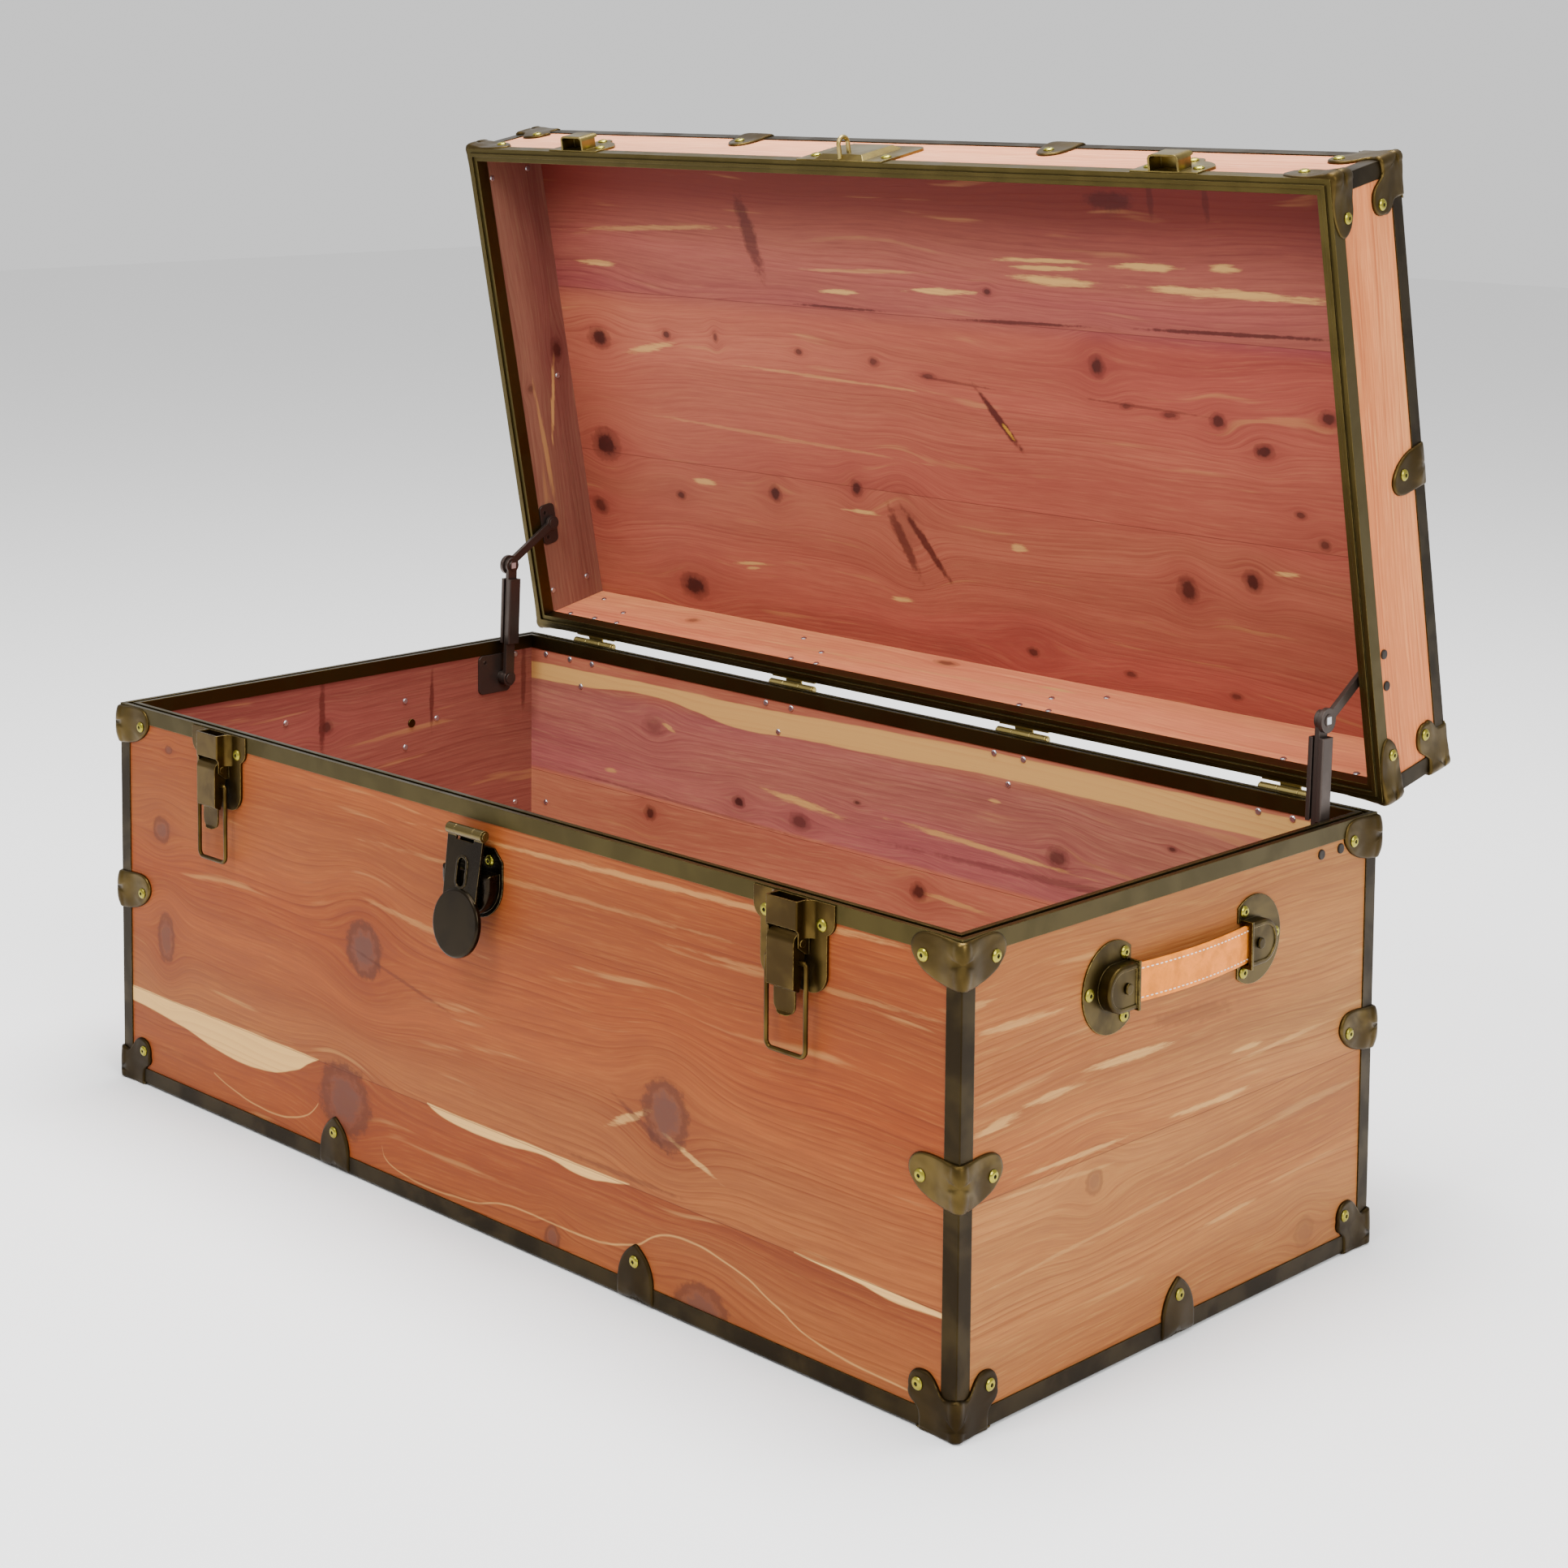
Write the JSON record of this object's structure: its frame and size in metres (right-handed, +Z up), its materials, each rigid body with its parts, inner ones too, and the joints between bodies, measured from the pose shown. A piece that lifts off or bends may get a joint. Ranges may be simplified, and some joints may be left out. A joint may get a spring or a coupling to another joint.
{
  "type": "cedar trunk",
  "caption": "Cedar trunk with metal bindings, riveted corner caps, draw latches, a hasp lock, leather handles and a hinged lid that stands open on folding stays.",
  "frame": {"origin": "on the floor under the middle of the base", "axes": "+X along the trunk to its right end, +Y to the back where the hinges are, +Z up"},
  "size_m": [0.939, 0.5775, 0.7976],
  "materials": {
    "cedar": "clear satin varnish over knotty red cedar",
    "antique_brass": "antique brass plated steel, satin",
    "olive_brass": "antique brass plated steel, satin",
    "bright_brass": "bright brass",
    "steel": "dark oxidised steel",
    "bronze_paint": "dark bronze lacquer",
    "leather": "natural tan, stitched"
  },
  "bodies": {
    "base": {"base_back_panel": "cedar", "base_bottom_bindings": "antique_brass", "base_bottom_clamps": "antique_brass", "base_corner_bindings": "antique_brass", "base_edge_clamps": "antique_brass", "base_floor_panel": "cedar", "base_foot_caps": "antique_brass", "base_front_panel": "cedar", "base_left_panel": "cedar", "base_right_panel": "cedar", "base_rim_channel": "olive_brass", "base_rim_corner_caps": "antique_brass", "base_rivets": "bright_brass", "handle_studs": "steel", "hasp_pin": "antique_brass", "hinge_base_leaves": "bright_brass", "hinge_pins": "bright_brass", "latch_pins": "bright_brass", "left_handle_loops": "antique_brass", "left_handle_strap": "leather", "left_latch_plate": "antique_brass", "left_stay_base_bracket": "bronze_paint", "lock_plate": "bright_brass", "right_handle_loops": "antique_brass", "right_handle_strap": "leather", "right_latch_plate": "antique_brass", "right_stay_base_bracket": "bronze_paint", "stay_base_screws": "steel"},
    "lid": {"hasp_staple": "antique_brass", "hasp_staple_plate": "antique_brass", "hinge_lid_leaves": "bright_brass", "left_lid_catch": "antique_brass", "left_stay_lid_bracket": "bronze_paint", "lid_back_panel": "cedar", "lid_corner_bindings": "antique_brass", "lid_edge_clamps": "antique_brass", "lid_front_panel": "cedar", "lid_left_panel": "cedar", "lid_right_panel": "cedar", "lid_rim_channel": "olive_brass", "lid_rim_corner_caps": "antique_brass", "lid_rivets": "bright_brass", "lid_top_bindings": "antique_brass", "lid_top_corner_caps": "antique_brass", "lid_top_panel": "cedar", "right_lid_catch": "antique_brass", "right_stay_lid_bracket": "bronze_paint", "stay_lid_screws": "steel"},
    "hasp": {"hasp": "antique_brass"},
    "left_lever": {"left_latch_lever": "antique_brass"},
    "left_bail": {"left_latch_bail": "antique_brass"},
    "left_stay_lower": {"left_stay_lower_arm": "bronze_paint", "left_stay_sleeve": "bronze_paint"},
    "left_stay_upper": {"left_stay_upper_arm": "bronze_paint"},
    "right_lever": {"right_latch_lever": "antique_brass"},
    "right_bail": {"right_latch_bail": "antique_brass"},
    "right_stay_lower": {"right_stay_lower_arm": "bronze_paint", "right_stay_sleeve": "bronze_paint"},
    "right_stay_upper": {"right_stay_upper_arm": "bronze_paint"}
  },
  "joints": [
    {"name": "lid_hinge", "type": "hinge", "parent": "base", "child": "lid", "pos_m": [0, 0.2361, 0.3185], "axis": [1, 0, 0], "range_deg": [0, 79]},
    {"name": "hasp_swing", "type": "hinge", "parent": "base", "child": "hasp", "pos_m": [0, -0.2386, 0.3], "axis": [-1, 0, 0], "range_deg": [0, 172]},
    {"name": "left_lever_turn", "type": "hinge", "parent": "base", "child": "left_lever", "pos_m": [-0.317, -0.2372, 0.291], "axis": [1, 0, 0], "range_deg": [-110, 0]},
    {"name": "left_bail_swing", "type": "hinge", "parent": "left_lever", "child": "left_bail", "pos_m": [-0.317, -0.2372, 0.278], "axis": [-1, 0, 0], "range_deg": [0, 180]},
    {"name": "left_stay_base_pivot", "type": "hinge", "parent": "base", "child": "left_stay_lower", "pos_m": [-0.4382, 0.182, 0.285], "axis": [1, 0, 0], "range_deg": [0, 79]},
    {"name": "left_stay_elbow", "type": "hinge", "parent": "left_stay_lower", "child": "left_stay_upper", "pos_m": [-0.44, 0.18594, 0.39049], "axis": [1, 0, 0], "range_deg": [-79, 0]},
    {"name": "right_lever_turn", "type": "hinge", "parent": "base", "child": "right_lever", "pos_m": [0.317, -0.2372, 0.291], "axis": [1, 0, 0], "range_deg": [-110, 0]},
    {"name": "right_bail_swing", "type": "hinge", "parent": "right_lever", "child": "right_bail", "pos_m": [0.317, -0.2372, 0.278], "axis": [-1, 0, 0], "range_deg": [0, 180]},
    {"name": "right_stay_base_pivot", "type": "hinge", "parent": "base", "child": "right_stay_lower", "pos_m": [0.4382, 0.182, 0.285], "axis": [1, 0, 0], "range_deg": [0, 79]},
    {"name": "right_stay_elbow", "type": "hinge", "parent": "right_stay_lower", "child": "right_stay_upper", "pos_m": [0.44, 0.18594, 0.39049], "axis": [1, 0, 0], "range_deg": [-79, 0]}
  ],
  "couplings": [
    {"joint": "left_stay_base_pivot", "follows": "lid_hinge", "ratio": 1},
    {"joint": "left_stay_elbow", "follows": "lid_hinge", "ratio": -1},
    {"joint": "right_stay_base_pivot", "follows": "lid_hinge", "ratio": 1},
    {"joint": "right_stay_elbow", "follows": "lid_hinge", "ratio": -1}
  ]
}
